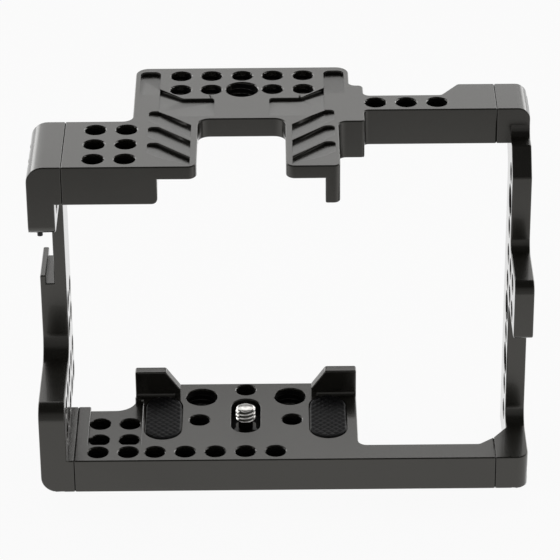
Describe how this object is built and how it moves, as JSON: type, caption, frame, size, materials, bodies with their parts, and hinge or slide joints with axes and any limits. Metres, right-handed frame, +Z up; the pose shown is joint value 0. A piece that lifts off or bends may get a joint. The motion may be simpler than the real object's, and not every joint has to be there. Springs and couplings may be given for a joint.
{
  "type": "camera cage",
  "caption": "Black open-frame camera cage: base plate, two arms and a notched top plate with threaded holes, rubber pads and a sliding captive camera screw.",
  "frame": {"origin": "middle of the cage's footprint, on the plane that its underside stands on", "axes": "+X to the right and +Y forwards (towards the lens) as the camera's user sees them, +Z up"},
  "size_m": [0.1448, 0.063, 0.1094],
  "materials": {
    "anodised_aluminium": "black anodised over a fine bead blast, semi-gloss",
    "pad_rubber": "matte, diamond-knurled",
    "adhesive_film": "translucent acrylic tape",
    "nylon": "moulded, satin",
    "stainless_steel": "turned, bright",
    "black_oxide_steel": "black oxide, oiled",
    "dowel_steel": "ground"
  },
  "bodies": {
    "cage": {"base_plate": "anodised_aluminium", "left_arm": "anodised_aluminium", "right_arm": "anodised_aluminium", "top_plate": "anodised_aluminium", "left_pad": "pad_rubber", "right_pad": "pad_rubber", "left_pad_adhesive": "adhesive_film", "right_pad_adhesive": "adhesive_film", "base_left_screws": "black_oxide_steel", "base_right_screw": "black_oxide_steel", "top_left_screws": "black_oxide_steel", "top_right_screws": "black_oxide_steel", "base_left_dowels": "dowel_steel", "base_right_dowel": "dowel_steel", "top_left_dowels": "dowel_steel", "top_right_dowels": "dowel_steel"},
    "slider": {"slot_bush": "nylon", "screw_washer": "stainless_steel"},
    "camera_screw": {"camera_screw": "stainless_steel"},
    "screw_ring": {"screw_ring": "stainless_steel"},
    "clamp_set_screw": {"clamp_set_screw": "black_oxide_steel"}
  },
  "joints": [
    {"name": "screw_slide", "type": "slide", "parent": "cage", "child": "slider", "axis": [0, 1, 0], "range_m": [0, 0.0082]},
    {"name": "screw_spin", "type": "hinge", "parent": "slider", "child": "camera_screw", "pos_m": [-0.01155, -0.0119, 0.011], "axis": [0, 0, 1], "continuous": true},
    {"name": "ring_fold", "type": "hinge", "parent": "camera_screw", "child": "screw_ring", "pos_m": [-0.01155, -0.0119, 0.00125], "axis": [-1, 0, 0], "range_deg": [0, 180]},
    {"name": "set_screw_travel", "type": "slide", "parent": "cage", "child": "clamp_set_screw", "axis": [0, 0, 1], "range_m": [-0.002, 0.0012]}
  ]
}
